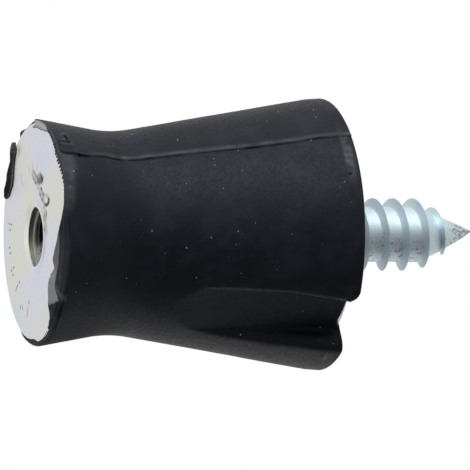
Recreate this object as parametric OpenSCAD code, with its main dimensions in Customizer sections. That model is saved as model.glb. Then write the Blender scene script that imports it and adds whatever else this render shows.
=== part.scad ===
// Rubber-to-metal anti-vibration mount with a nut thread at its small end
// and a tapping screw at its flared end. The rubber is moulded round both
// end fittings. It stands on its nut plate, and +Z runs to the screw's tip.
// The locating groove faces -Y and the mould parts on the XZ plane.

/* [Rubber body] */
// Height between the outer faces of the two end plates
body_h = 25; // [24:0.5:40]
// Diameter of the rubber at the nut plate's face
nut_end_d = 18.9; // [18.7:0.1:20]
// Diameter of the rubber at the flared end
flare_end_d = 22.9; // [21:0.1:26]
// Height of the waist, where the two cones meet
waist_z = 6.35; // [5.5:0.05:8]
// Slope of the lower cone from the axis, in degrees
nut_slope = 9.9; // [6:0.1:12]
// Radius that blends the two cones at the waist
waist_blend_r = 10.7; // [4:0.1:14]
// Height of the land round the end plate, where the cone eases off
land_h = 1.15; // [0.5:0.05:2]
// Growth of the land's radius over its height
land_rise = 0.08; // [0:0.01:0.15]
// Height that the parting line stands proud of the rubber
parting_proud = 0.12; // [0.05:0.01:0.3]
// Thickness of the parting line
parting_t = 0.2; // [0.1:0.05:0.5]

/* [Locating groove] */
// Width of the groove between its walls
groove_w = 4.4; // [4:0.1:6]
// Radius in the bottom corners of the groove
groove_corner_r = 0.4; // [0.3:0.1:1]
// Draft of the groove's floor, which is deeper towards its run-out, in degrees
groove_draft = 0.7; // [0:0.1:1.5]
// Rubber left over the end plate's rim at the bottom of the groove
groove_skin = 0.06; // [0.04:0.01:0.3]
// Height of the plate rim left bare where the skin has torn away
tear_h = 0.36; // [0.1:0.02:1]
// Width of the torn place
tear_w = 1.8; // [1:0.1:2]
// Distance of the torn place's middle from the groove's
tear_x = 1.1; // [-1.1:0.1:1.1]
// Break of the groove's lips at the flared end, and half of it at the run-out
lip_break = 0.6; // [0.1:0.05:0.7]

/* [End plates] */
// Diameter of both steel plates
plate_d = 18.2; // [16:0.1:18.5]
// Thickness of both steel plates
plate_t = 1.5; // [1:0.1:2.5]
// Radius of the pressed edge on each plate's outer face
plate_edge_r = 0.15; // [0.1:0.05:0.5]

/* [Nut bush] */
// Diameter of the bush behind the plate
bush_d = 10; // [9:0.1:12]
// Diameter of the collar that is staked in the plate
collar_d = 8; // [7:0.1:8.8]
// Length of the bush, collar included
bush_len = 8; // [6:0.5:10]
// Thread core diameter, for an M6 screw
bore_d = 4.9; // [4:0.05:6]
// Depth of the blind thread
bore_depth = 7; // [4:0.5:7]
// Depth of the countersink at the thread's mouth
bore_chamfer = 0.2; // [0.1:0.05:0.8]
// Distance that the bush stands off the plate's centre
bush_offset = 0.3; // [0:0.05:0.4]
// Direction of that offset, in degrees from +X
bush_offset_angle = -43.5; // [-180:0.5:180]

/* [Tapping screw] */
// Diameter over the thread's crests
crest_d = 6.15; // [5.5:0.05:6.15]
// Diameter at the thread's root
root_d = 4.65; // [4:0.05:5]
// Rise of the thread in one turn
pitch = 1.8; // [1.6:0.05:2.2]
// Angle between the thread's flanks
flank_angle = 60; // [45:1:65]
// Width of the thread's crest
crest_w = 0.12; // [0.05:0.01:0.25]
// Reach of the screw past the end plate
reach = 13.8; // [12:0.1:20]
// Length of the point
point_len = 4.9; // [4:0.05:6]
// Fullness of the point, where 1 is a straight cone and less is rounder
point_power = 0.89; // [0.7:0.01:1]
// Length over which the ridge wanes, counted back from just past the tip
wane_len = 5.4; // [4:0.1:7]
// Distance that the rolled point runs out from the axis
point_runout = 0.3; // [0:0.05:0.5]
// Diameter of the plain neck in the end plate
neck_d = 6.2; // [6.2:0.05:6.6]
// Size across the flats of the head
head_af = 10; // [9:0.1:11]
// Height of the head
head_h = 4.7; // [4:0.1:5]
// Length of the head's chamfer
head_chamfer = 0.6; // [0.3:0.1:1]

/* [Hidden] */
$fn = 96;
eps = 0.01;

nut_end_r = nut_end_d / 2;
flare_end_r = flare_end_d / 2;
plate_r = plate_d / 2;
plate_z = body_h - plate_t;
land_z = body_h - land_h;
land_r = flare_end_r - land_rise;

// The cones meet at the waist, and a blend arc is tangent to both
waist_r = nut_end_r - waist_z * tan(nut_slope);
flare_slope = atan((land_r - waist_r) / (land_z - waist_z));
blend_reach = waist_blend_r * tan((nut_slope + flare_slope) / 2);
blend_lo = [waist_r + blend_reach * sin(nut_slope), waist_z - blend_reach * cos(nut_slope)];
blend_hi = [waist_r + blend_reach * sin(flare_slope), waist_z + blend_reach * cos(flare_slope)];
blend_c = blend_lo + waist_blend_r * [cos(nut_slope), sin(nut_slope)];

groove_floor = plate_r + groove_skin;
lip_x = groove_w / 2;
wall_foot = groove_floor + groove_corner_r;
// Height at which the groove is deep enough to have straight walls
wall_z = waist_z + (norm([lip_x, wall_foot]) - waist_r) / tan(flare_slope);
groove_top = flare_end_r + 1;

tip_z = body_h + reach;
point_z = tip_z - point_len;
head_z = plate_z - head_h;
head_corner_r = head_af / 2 / cos(30);
crest_r = crest_d / 2;
root_r = root_d / 2;

// The thread is swept in steps round the axis, from inside the head up to
// the point. A crest passes over the +X side at thread_phase_z.
steps_per_turn = 36;
thread_z0 = head_z + 2.5;
thread_fade = 0.6;
thread_end_z = tip_z - 1.95;
thread_phase_z = 31;
wane_z = tip_z + 0.3;
least_ridge = 0.04;
flank_w = (crest_r - root_r) * tan(flank_angle / 2);
thread_steps = floor((thread_end_z - thread_z0) / pitch * steps_per_turn);
runout_angle = 136.5;

// Radius of the screw's core at height z, which narrows down the point
function core_r(z) = z < point_z ? root_r : root_r * pow(max(tip_z - z, 0) / point_len, point_power);
// Share of its full size that the ridge has at height z. It wanes along the
// point, and fades out over its last stretch.
function ridge_share(z) = max(least_ridge, min(1, (wane_z - z) / wane_len, (thread_end_z - z) / thread_fade));
// Shift of the core from the axis at height z, growing down the point
function runout(z) = point_runout * pow(max(0, (z - point_z) / point_len), 2);
// A point on the screw at step i, height z and radius r
function on_screw(i, z, r) =
    let (a = 360 * i / steps_per_turn + phase_a)
    [
        r * cos(a) + runout(z) * cos(runout_angle),
        r * sin(a) + runout(z) * sin(runout_angle),
        z
    ];
// Angle at which the sweep starts, so that crests fall at the right height
phase_a = 360 * (thread_z0 - thread_phase_z) / pitch;
// Height of the ridge's middle at step i
function step_z(i) = thread_z0 + pitch * i / steps_per_turn;
// The four corners of the ridge's section at step i
function ridge_section(i) =
    let (
        z = step_z(i),
        share = ridge_share(z),
        ridge_h = (crest_r - root_r) * share,
        z1 = z - crest_w / 2,
        z2 = z + crest_w / 2,
        z0 = z1 - flank_w * share,
        z3 = z2 + flank_w * share
    )
    [
        on_screw(i, z0, core_r(z0)),
        on_screw(i, z1, core_r(z1) + ridge_h),
        on_screw(i, z2, core_r(z2) + ridge_h),
        on_screw(i, z3, core_r(z3))
    ];

// Outline of the rubber, from the axis at the bottom to the axis at the top
module rubber_outline(grow = 0) {
    outward = [grow, 0];
    difference() {
        polygon([
            [0, 0],
            [nut_end_r, 0] + outward,
            blend_lo + outward,
            // A point well inside the blend circle, which is cut away below
            blend_c - [waist_blend_r / 2, 0],
            blend_hi + outward,
            [land_r, land_z] + outward,
            [flare_end_r, body_h] + outward,
            [0, body_h]
        ]);
        translate(blend_c + outward)
            circle(r = waist_blend_r, $fn = 180);
    }
}

// Section of the groove, square to the axis, opening towards -Y
module groove_section() {
    inner_w = groove_w - 2 * groove_corner_r;
    translate([-groove_w / 2, -groove_top])
        square([groove_w, groove_top - groove_floor - groove_corner_r]);
    translate([-inner_w / 2, -groove_top])
        square([inner_w, groove_top - groove_floor]);
    for (side = [-1, 1])
        translate([side * inner_w / 2, -groove_floor - groove_corner_r])
            circle(r = groove_corner_r, $fn = 48);
}

// The groove runs out where the body narrows below its floor. Its draft
// turns it about the floor's end at the flared end.
module locating_groove() {
    translate([0, -groove_floor, body_h])
        rotate([groove_draft, 0, 0])
            translate([0, groove_floor, waist_z - body_h])
                linear_extrude(height = body_h)
                    groove_section();
}

// Height of the lip above the row's XZ plane at height z
function lip_y(z) = sqrt(pow(waist_r + (z - waist_z) * tan(flare_slope), 2) - lip_x * lip_x);

// A thin diamond that cuts the lip's corner back by size
module lip_corner(z, size) {
    translate([lip_x, -lip_y(z), z])
        rotate([0, 0, 45])
            cube([size * sqrt(2), size * sqrt(2), 2 * eps], center = true);
}

// The groove's lips are broken, and less so where its walls begin
module broken_lips() {
    for (side = [0, 1])
        mirror([side, 0, 0])
            hull() {
                lip_corner(wall_z, lip_break / 2);
                lip_corner(body_h, lip_break);
            }
}

// Crescent of the end plate's rim that shows at the groove's end
module torn_skin() {
    translate([tear_x - tear_w / 2, -groove_floor - 1, body_h - tear_h])
        cube([tear_w, 2, 1]);
}

// Thin ridge left where the two halves of the mould meet
module parting_line() {
    for (side = [0, 1])
        mirror([side, 0, 0])
            rotate([90, 0, 0])
                linear_extrude(height = parting_t, center = true)
                    rubber_outline(grow = parting_proud);
}

// A pressed disc that lies on z = 0 with its rounded edge downwards
module plate_disc(hole_d) {
    rotate_extrude()
        difference() {
            union() {
                translate([0, plate_edge_r])
                    square([plate_r, plate_t - plate_edge_r]);
                square([plate_r - plate_edge_r, plate_t]);
                translate([plate_r - plate_edge_r, plate_edge_r])
                    circle(r = plate_edge_r, $fn = 32);
            }
            translate([-eps, -eps])
                square([hole_d / 2 + eps, plate_t + 2 * eps]);
        }
}

// Moves what belongs to the bush off the axis with it
module at_bush() {
    translate(bush_offset * [cos(bush_offset_angle), sin(bush_offset_angle), 0])
        children();
}

// The bush without its bore
module bush_blank() {
    at_bush() {
        cylinder(d = collar_d, h = plate_t);
        translate([0, 0, plate_t])
            cylinder(d = bush_d, h = bush_len - plate_t);
    }
}

// Head and neck of the screw, which sit in the rubber and the end plate
module head_and_neck() {
    intersection() {
        translate([0, 0, head_z])
            cylinder(r = head_corner_r, h = head_h, $fn = 6);
        translate([0, 0, head_z])
            rotate_extrude()
                polygon([
                    [0, 0],
                    [head_af / 2, 0],
                    [head_corner_r + eps, head_chamfer],
                    [head_corner_r + eps, head_h],
                    [0, head_h]
                ]);
    }
    translate([0, 0, plate_z - eps])
        cylinder(d = neck_d, h = plate_t + eps);
}

// Threaded shank, swept as one closed helical skin. Row 3 of each turn runs
// into row 0 of the next, and the two ends close on points on the axis.
module threaded_shank() {
    n = thread_steps;
    turn = steps_per_turn;
    ridge = [for (i = [0 : n], p = ridge_section(i)) p];
    // Past its last step the ridge goes on as a bare line round the point
    tail = [for (i = [n + 1 : n + turn]) on_screw(i, step_z(i), core_r(step_z(i)))];
    tip = [runout(tip_z) * cos(runout_angle), runout(tip_z) * sin(runout_angle), tip_z];
    foot = [0, 0, thread_z0 - flank_w - crest_w];
    tip_at = len(ridge) + len(tail);
    foot_at = tip_at + 1;
    function at(i, row) = i <= n ? 4 * i + row : 4 * (n + 1) + i - n - 1;
    faces = concat(
        [for (i = [0 : n - 1], row = [0 : 2], f = [
            [at(i, row), at(i, row + 1), at(i + 1, row)],
            [at(i, row + 1), at(i + 1, row + 1), at(i + 1, row)]
        ]) f],
        [for (i = [0 : n - 1], f = [
            [at(i, 3), at(i + turn, 0), at(i + 1, 3)],
            [at(i + turn, 0), at(i + 1 + turn, 0), at(i + 1, 3)]
        ]) f],
        // The ridge's last section, and the skin from its line to the tip
        [[at(n, 0), at(n, 1), at(n, 3)], [at(n, 1), at(n, 2), at(n, 3)]],
        [
            [at(n + 1, 0), at(n, 0), at(n, 3)],
            [at(n + 1, 0), at(n, 3), at(n + turn, 0)],
            [at(n + 1, 0), at(n + turn, 0), tip_at]
        ],
        [for (i = [n + 1 : n + turn - 1]) [at(i + 1, 0), at(i, 0), tip_at]],
        // The foot, which lies inside the head
        [for (i = [0 : turn - 1]) [at(i, 0), at(i + 1, 0), foot_at]],
        [
            [at(0, 1), at(0, 0), foot_at],
            [at(0, 2), at(0, 1), foot_at],
            [at(0, 3), at(0, 2), foot_at],
            [at(turn, 0), at(0, 3), foot_at]
        ]
    );
    polyhedron(points = concat(ridge, tail, [tip, foot]), faces = faces, convexity = 12);
}

module nut_plate() {
    color("#c9cdcd")
        difference() {
            plate_disc(hole_d = 0);
            at_bush()
                translate([0, 0, -eps])
                    cylinder(d = collar_d, h = plate_t + 2 * eps);
        }
}

module nut_bush() {
    color("#b9c4c4")
        difference() {
            bush_blank();
            at_bush()
                translate([0, 0, -eps]) {
                    cylinder(d = bore_d, h = bore_depth + eps);
                    cylinder(r1 = bore_d / 2 + bore_chamfer + eps, r2 = bore_d / 2, h = bore_chamfer + eps);
                }
        }
}

module rubber_body() {
    color("#26282c")
        difference() {
            union() {
                rotate_extrude()
                    rubber_outline();
                parting_line();
            }
            locating_groove();
            broken_lips();
            torn_skin();
            plate_disc(hole_d = 0);
            bush_blank();
            translate([0, 0, body_h])
                mirror([0, 0, 1])
                    plate_disc(hole_d = 0);
            head_and_neck();
        }
}

module end_plate() {
    color("#c4c8ca")
        translate([0, 0, body_h])
            mirror([0, 0, 1])
                plate_disc(hole_d = neck_d);
}

module tapping_screw() {
    color("#b4bfc9") {
        head_and_neck();
        threaded_shank();
    }
}

nut_plate();
nut_bush();
rubber_body();
end_plate();
tapping_screw();
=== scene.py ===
"""Looks of an anti-vibration mount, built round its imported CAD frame.

A black rubber body is moulded round a threaded steel plate at its small end
and round a plate with a tapping screw at its flared end. Lengths below are in
millimetres and turned to metres where a mesh is made. Angles run round +Z
from +X, in degrees. The mount stands on its nut plate, and the tip is at +Z.
"""

import math

import bmesh
import bpy
import numpy as np
from mathutils import Matrix, Vector, noise


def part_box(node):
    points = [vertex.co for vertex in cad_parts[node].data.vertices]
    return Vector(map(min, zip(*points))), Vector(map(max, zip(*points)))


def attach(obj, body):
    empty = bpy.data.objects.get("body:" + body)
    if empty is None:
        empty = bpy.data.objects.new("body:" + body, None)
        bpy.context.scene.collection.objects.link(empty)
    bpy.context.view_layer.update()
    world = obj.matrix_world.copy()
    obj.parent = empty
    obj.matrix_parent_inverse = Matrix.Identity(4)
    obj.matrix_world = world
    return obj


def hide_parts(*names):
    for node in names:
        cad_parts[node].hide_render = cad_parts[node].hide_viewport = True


MM = 0.001

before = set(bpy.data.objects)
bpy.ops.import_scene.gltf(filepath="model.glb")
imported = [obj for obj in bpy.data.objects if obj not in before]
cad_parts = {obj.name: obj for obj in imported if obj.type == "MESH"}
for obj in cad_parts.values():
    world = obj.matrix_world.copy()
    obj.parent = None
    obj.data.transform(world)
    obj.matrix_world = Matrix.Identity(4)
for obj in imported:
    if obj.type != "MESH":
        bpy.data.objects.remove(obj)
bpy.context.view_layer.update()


def node_box(node):
    """Lowest and highest corner of a CAD node, in millimetres."""
    low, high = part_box(node)
    return low / MM, high / MM


_, plate_high = node_box("nut_plate")
bush_low, bush_high = node_box("nut_bush")
end_low, end_high = node_box("end_plate")
screw_low, screw_high = node_box("tapping_screw")

# Rubber body: heights and radii of its outline, as the CAD source has them
BODY_H = end_high.z
NUT_END_R = 9.45
FLARE_END_R = 11.45
WAIST_Z = 6.35
NUT_SLOPE = math.radians(9.9)
WAIST_BLEND_R = 10.7
LAND_H = 1.15
LAND_RISE = 0.08
RIM_CORNER_R = 0.3
SHARP_RIM_R = 0.08
RIM_BAND_H = 1.6
# Groove: its half width at the flared end, which grows by the spread in each
# millimetre below it, and the skin that it leaves on the end plate's rim
GROOVE_HALF_W = 2.2
GROOVE_CORNER_R = 0.3
LIP_BREAK_W = 0.55
LIP_BREAK_H = 0.75
GROOVE_DRAFT = math.radians(0.7)
GROOVE_SPREAD = 0.03
GROOVE_SKIN = 0.06
# Half widths of the bells that soften the outline, and the outline's steps
CORNER_SOFTNESS = 0.12
LIP_SOFTNESS = 0.33
OUTLINE_STEP = 0.02
# The flared end: radius at which its wall tucks in, and the lip round its face
TUCK_R = 0.1
END_LIP_W = 0.14
END_LIP_RISE = 0.006

# Steel parts
PLATE_R = plate_high.x
PLATE_T = plate_high.z
PLATE_EDGE_R = 0.15
GROOVE_FLOOR = PLATE_R + GROOVE_SKIN
BUSH_X = (bush_low.x + bush_high.x) / 2
BUSH_Y = (bush_low.y + bush_high.y) / 2
BUSH_R = bush_high.x - BUSH_X
BUSH_LEN = bush_high.z
COLLAR_R = 4.0
BORE_R = 2.45
BORE_THREAD_R = 2.98
BORE_PITCH = 1.0
BORE_DEPTH = 7.0
BORE_MOUTH_R = 2.5
BORE_DISH_R = 3.15
BORE_DISH_DEPTH = 0.24
BORE_CREST_Z = 0.14
SCREW_ROOT_R = 2.325
SCREW_CREST_R = 3.075
SCREW_PITCH = 1.8
SCREW_CREST_Z = 30.93
SCREW_TIP_Z = screw_high.z
SCREW_POINT_LEN = 4.9
SCREW_POINT_POWER = 0.89
SCREW_WANE_LEN = 5.4
SCREW_RUNOUT = 0.3
SCREW_RUNOUT_ANGLE = 136.5
SCREW_NECK_R = 3.1
SCREW_HEAD_AF = 10.0
SCREW_HEAD_H = end_low.z - screw_low.z
# Points in a turn of each thread
SCREW_STEPS = 90
BORE_STEPS = 288

# Camera: where it stands, seen from the middle of the body
CAMERA_TARGET = Vector((0, 0, BODY_H / 2))
CAMERA_AZIMUTH = -43.5
CAMERA_ELEVATION = -18.375
CAMERA_DISTANCE = 447.4
CAMERA_LENS = 410.2
CAMERA_ROLL = math.radians(0.25)
AIM_RIGHT = 4.79
AIM_DOWN = 0.1

# Light that the studio gives from behind the mount and from the camera's side
WORLD_FAR = 0.9
WORLD_NEAR = 0.2
# Soft boxes: name, direction (right, up and back), size and strength
SOFT_BOXES = (
    ("top_soft_box", (-0.1, 1.0, 0.7), 260, 1.3),
    ("low_soft_box", (0.0, -1.0, -0.4), 200, 0.05),
    ("side_soft_box", (-1.0, 0.0, 0.35), 300, 0.4),
)
LAMP_DISTANCE = 400
TABLE_HALF = 600
TABLE_Z = -0.2

# What the rubber's mesh tells its material about each point
RUBBER_LOOKS = ("pale", "thin", "torn", "torn_rough")
# Setting of a Map Range node that eases in and out
SMOOTH = {"interpolation_type": "SMOOTHSTEP"}


# ---------------------------------------------------------------- small tools


def srgb(code):
    """Linear RGBA of an sRGB hex colour."""
    parts = [int(code[i : i + 2], 16) / 255 for i in (1, 3, 5)]
    linear = [c / 12.92 if c <= 0.04045 else ((c + 0.055) / 1.055) ** 2.4 for c in parts]
    return (*linear, 1.0)


def add_node(tree, kind, inputs=(), **settings):
    """Adds a node. Inputs are values, or the sockets that feed them, by name,
    by number or in order."""
    node = tree.nodes.new(kind)
    for name, value in settings.items():
        setattr(node, name, value)
    for key, value in inputs.items() if isinstance(inputs, dict) else enumerate(inputs):
        if isinstance(value, bpy.types.NodeSocket):
            tree.links.new(value, node.inputs[key])
        else:
            node.inputs[key].default_value = value
    return node


def smoothstep(low, high, value):
    """0 below low, 1 above high and smooth between. It also takes arrays."""
    t = np.clip((value - low) / (high - low), 0.0, 1.0)
    return t * t * (3 - 2 * t)


def plateau(start, full, fading, end, value):
    """1 from full to fading, and smoothly down to 0 at start and at end."""
    return smoothstep(start, full, value) * (1 - smoothstep(fading, end, value))


def bump(centre, half_width, value):
    """1 at the centre, falling smoothly to 0 at half_width on either side."""
    return 1 - smoothstep(0.0, half_width, np.abs(value - centre))


def line_at(points, place):
    """Height at a place of the line through (place, height) points."""
    places, heights = zip(*points)
    return float(np.interp(place, places, heights))


def turn_between(angle, middle):
    """Signed angle from middle to angle, in degrees within half a turn."""
    return (angle - middle + 180) % 360 - 180


def grain(x, y, z, size, seed=0.0):
    """Smooth noise from -1 to 1, with features about size wide."""
    return noise.noise(Vector((x / size + seed, y / size - seed, z / size + 2 * seed)))


def ragged(angle, size, seed):
    """Noise along a rim: it depends on the angle alone and closes on itself."""
    a = math.radians(angle)
    return grain(9 * math.cos(a), 9 * math.sin(a), 0.0, size, seed)


def new_object(name, data):
    """An object that is linked to the scene."""
    obj = bpy.data.objects.new(name, data)
    bpy.context.scene.collection.objects.link(obj)
    return obj


def object_from_mesh(name, mesh, material, sharp_angle):
    """An object for the mesh, smooth but for edges sharper than the angle."""
    mesh.validate()
    for polygon in mesh.polygons:
        polygon.use_smooth = True
    mesh.set_sharp_from_angle(angle=math.radians(sharp_angle))
    mesh.materials.clear()
    mesh.materials.append(material)
    return new_object(name, mesh)


def loft(name, rings, start=None, end=None, closed=False):
    """A mesh through rings of equally many points, in millimetres. A start or
    an end point caps it there, and closed joins its last ring to its first."""
    count = len(rings[0])
    points = [p for ring in rings for p in ring]
    last = len(rings) - 1
    faces = []
    for a, b in [(k, k + 1) for k in range(last)] + [(last, 0)] * closed:
        for i in range(count):
            j = (i + 1) % count
            faces.append((a * count + i, a * count + j, b * count + j, b * count + i))
    caps = [(tip, ring) for tip, ring in ((start, 0), (end, last)) if tip is not None]
    for i in range(count):
        for k, (_, ring) in enumerate(caps):
            pair = (ring * count + i, ring * count + (i + 1) % count)
            faces.append((len(points) + k, *(pair if ring else pair[::-1])))
    points += [tip for tip, _ in caps]
    mesh = bpy.data.meshes.new(name)
    mesh.from_pydata([tuple(c * MM for c in p) for p in points], [], faces)
    return mesh


def weld(target, meshes, distance=1e-7, drop_slivers=True):
    """Fills the target with the meshes, welded where points meet, and turns
    every face outwards."""
    work = bmesh.new()
    for mesh in meshes:
        work.from_mesh(mesh)
    bmesh.ops.remove_doubles(work, verts=work.verts, dist=distance)
    if drop_slivers:
        bmesh.ops.dissolve_degenerate(work, edges=work.edges, dist=distance)
    bmesh.ops.recalc_face_normals(work, faces=work.faces)
    work.to_mesh(target)
    work.free()


def circle_ring(radius, z, angles, centre=(0.0, 0.0)):
    """One ring of a turned shape. radius and z may be one number per angle."""
    radii = np.broadcast_to(radius, len(angles))
    heights = np.broadcast_to(z, len(angles))
    return [
        (centre[0] + r * math.cos(a), centre[1] + r * math.sin(a), h)
        for r, h, a in zip(radii, heights, angles)
    ]


def set_attribute(mesh, name, values):
    """Stores one number per point on the mesh, for a material to read."""
    layer = mesh.attributes.new(name, "FLOAT", "POINT")
    layer.data.foreach_set("value", np.asarray(values, np.float32))


def finish_piece(obj, slot, *nodes):
    """Fixes a finished piece to the frame."""
    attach(obj, "root")
    if nodes:
        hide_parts(*nodes)


# ------------------------------------------------------------------ materials


def emptied_tree(owner):
    """The node tree of a material or a world, without its first nodes."""
    owner.use_nodes = True
    owner.node_tree.nodes.clear()
    return owner.node_tree


def new_material(name):
    """A material with an empty node tree, and that tree."""
    material = bpy.data.materials.new(name)
    return material, emptied_tree(material)


def finish_material(tree, inputs):
    """Gives the tree its shader, with these inputs, and its output."""
    shader = add_node(tree, "ShaderNodeBsdfPrincipled", inputs)
    add_node(tree, "ShaderNodeOutputMaterial", {"Surface": shader.outputs[0]})


def object_noise(tree, size_mm, span=None, detail=3.0, roughness=0.5, stretch=(1, 1, 1)):
    """Noise in object space whose features are about size_mm wide. A span
    stretches its contrast from (low, high) to 0 and 1, or to two more values."""
    coords = add_node(tree, "ShaderNodeTexCoord").outputs["Object"]
    placed = add_node(tree, "ShaderNodeMapping", {"Vector": coords, "Scale": stretch}).outputs[0]
    look = {"Vector": placed, "Scale": 1 / (size_mm * MM), "Detail": detail, "Roughness": roughness}
    value = add_node(tree, "ShaderNodeTexNoise", look).outputs["Fac"]
    if span:
        value = add_node(tree, "ShaderNodeMapRange", (value, *span), **SMOOTH).outputs[0]
    return value


def coated(tree, base, *coats):
    """Base colour under coats, each a mask and a colour. A mask is a socket
    or the name of the mesh's attribute that holds it."""
    colour = srgb(base)
    for mask, coat in coats:
        if isinstance(mask, str):
            mask = add_node(tree, "ShaderNodeAttribute", attribute_name=mask).outputs["Fac"]
        inputs = {"Factor": mask, 6: colour, 7: srgb(coat)}
        colour = add_node(tree, "ShaderNodeMix", inputs, data_type="RGBA").outputs[2]
    return colour


def moulded_rubber():
    """Black natural rubber as it leaves a steel mould: satin, with a faint grey bloom in clouds, paler
    where it was scuffed or squeezed thin, and paler still where highlights and sheen are painted on."""
    material, tree = new_material("moulded_natural_rubber")
    clouds = object_noise(tree, 2.5, (0.42, 0.68), detail=6.0, roughness=0.65)
    # The pale coat also carries painted highlights and sheen: on the land, on the seam's upper edge,
    # round the nick and beside the nut plate
    coats = ((clouds, "#12161e"), ("pale", "#54575b"), ("thin", "#d6d8d4"), ("torn", "#5b5148"))
    satin = object_noise(tree, 0.25, (0.3, 0.7, 0.52, 0.64), detail=2.0)
    torn = add_node(tree, "ShaderNodeAttribute", attribute_name="torn_rough").outputs["Fac"]
    rough = add_node(tree, "ShaderNodeMix", {"Factor": torn, 2: satin, 3: 1.0}, data_type="FLOAT")
    mottle = object_noise(tree, 0.5, detail=4.0, roughness=0.7)
    relief = add_node(tree, "ShaderNodeBump", {"Height": mottle, "Distance": 0.027 * MM})
    finish_material(tree, {
        "Base Color": coated(tree, "#080b11", *coats),
        "Roughness": rough.outputs[0],
        "Normal": relief.outputs[0],
        "Specular IOR Level": 0.2,
        "Specular Tint": srgb("#e6ebfa"),
    })
    return material


def zinc_face_finish(name):
    """Bright zinc with a thin clear passivate on pressed steel: pale and satin, in lilac, cream and faint
    teal clouds where the film's depth changes, with grime, painted shadow and painted shade, and bare
    beige steel where it is marked."""
    material, tree = new_material(name)
    lilac = object_noise(tree, 7.0, (0.35, 0.65), detail=2.0)
    teal = object_noise(tree, 6.0, (0.55, 0.75, 0.0, 0.7), detail=2.0, stretch=(1, 1.3, 1))
    # The grime coat also carries a painted shadow beside the flap of flash and painted shade deep in the
    # bore
    coats = ((lilac, "#cccdd9"), (teal, "#bed0cd"), ("beige", "#b9b3a8"), ("grime_and_shade", "#23292b"))
    fine = object_noise(tree, 0.3, detail=3.0)
    relief = add_node(tree, "ShaderNodeBump", {"Height": fine, "Distance": 0.004 * MM})
    finish_material(tree, {
        "Base Color": coated(tree, "#d0d0c6", *coats),
        "Metallic": 1.0,
        "Roughness": object_noise(tree, 0.3, (0.3, 0.7, 0.42, 0.52), detail=3.0),
        "Normal": relief.outputs[0],
    })
    return material


def zinc_screw_finish():
    """Blue-white zinc on a rolled thread: smooth pale roots, flanks painted a darker blue-grey as painted
    shade, and slate pits where the plating is thin on one side and at the point."""
    material, tree = new_material("blue_zinc_on_rolled_steel")
    grains = object_noise(tree, 0.22, detail=4.0, roughness=0.6)
    # Pits lie where the grain is lower than a limit that the attribute lifts
    pitted = add_node(tree, "ShaderNodeAttribute", attribute_name="pitted").outputs["Fac"]
    limit = add_node(tree, "ShaderNodeMath", (pitted, 0.12, 0.3), operation="MULTIPLY_ADD").outputs[0]
    below = add_node(tree, "ShaderNodeMath", (limit, grains), operation="SUBTRACT").outputs[0]
    pits = add_node(tree, "ShaderNodeMapRange", (below, -0.03, 0.03), **SMOOTH).outputs[0]
    rough = add_node(tree, "ShaderNodeMapRange", (grains, 0.3, 0.6, 0.62, 0.54), **SMOOTH)
    relief = add_node(tree, "ShaderNodeBump", {"Height": pits, "Distance": -0.01 * MM})
    finish_material(tree, {
        # The flank colour is painted shade: every flank is a darker blue-grey
        "Base Color": coated(tree, "#c6d3d9", ("flank", "#6f8ca0"), (pits, "#949ea3")),
        "Metallic": 1.0,
        "Roughness": rough.outputs[0],
        "Normal": relief.outputs[0],
    })
    return material


def settled_dust():
    """Pale lint and talc from the mould shop, matt."""
    material, tree = new_material("pale_dust")
    finish_material(tree, {"Base Color": srgb("#6a6e74"), "Roughness": 0.9})
    return material


# ---------------------------------------------------------- the rubber's form

WAIST_R = NUT_END_R - WAIST_Z * math.tan(NUT_SLOPE)
LAND_Z = BODY_H - LAND_H
LAND_R = FLARE_END_R - LAND_RISE
FLARE_SLOPE = math.atan((LAND_R - WAIST_R) / (LAND_Z - WAIST_Z))
BLEND_REACH = WAIST_BLEND_R * math.tan((NUT_SLOPE + FLARE_SLOPE) / 2)
BLEND_LO_Z = WAIST_Z - BLEND_REACH * math.cos(NUT_SLOPE)
BLEND_HI_Z = WAIST_Z + BLEND_REACH * math.cos(FLARE_SLOPE)
BLEND_CENTRE_Z = BLEND_LO_Z + WAIST_BLEND_R * math.sin(NUT_SLOPE)
BLEND_CENTRE_R = (
    WAIST_R + BLEND_REACH * math.sin(NUT_SLOPE) + WAIST_BLEND_R * math.cos(NUT_SLOPE)
)


def body_radius(z):
    """Radius of the rubber at height z: two cones, a waist arc and a land."""
    if z < BLEND_LO_Z:
        return NUT_END_R - z * math.tan(NUT_SLOPE)
    if z < BLEND_HI_Z:
        return BLEND_CENTRE_R - math.sqrt(WAIST_BLEND_R**2 - (z - BLEND_CENTRE_Z) ** 2)
    if z < LAND_Z:
        return WAIST_R + (z - WAIST_Z) * math.tan(FLARE_SLOPE)
    return LAND_R + (z - LAND_Z) * LAND_RISE / LAND_H


# Places round the body, each its middle angle and half its width: where flash stands level with the
# plate, the skin is thin, the wall is painted paler, the skin's edge is combed and has dashes of painted
# shade, a pale patch lies and the rim is brown
FLASH = (110, 8)
THIN_RIM = (116, 15)
PALE_WALL = (119, 16)
COMBED = ((188, 23), (293, 9))
SHADED_DASHES = (197, 17)
PALE_PATCH = (261, 4)
BROWN_RIM = (318, 36)
# On the land at the flared end: a painted highlight, a small mark and a smear, with the heights of these
# two, and the swelling round the groove
LAND_HIGHLIGHT = (190, 19)
LAND_MARK, LAND_MARK_Z = (200.5, 1.0), 24.1
LAND_SMEAR, LAND_SMEAR_Z = (291, 8), 23.8
END_SWELL = (-86, 60)
# On the flare at the nut end: the dull side, and the brown part of it
DULL_SIDE = (-45, 50)
BROWN_SIDE = (-48, 30)

# Columns run round the body: the groove's floor, its two walls, the flanks
# beside it and then the rest of the way round at fixed angles
FLOOR_HALF = 1.95
WALL_HALF = 3.1
FLANK_END = 35.0
FLOOR_X = np.linspace(-FLOOR_HALF, FLOOR_HALF, 41)
WALL_STEPS = 24
FLANK_STEPS = 20
SEAMS = (90.0, 270.0)


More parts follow.
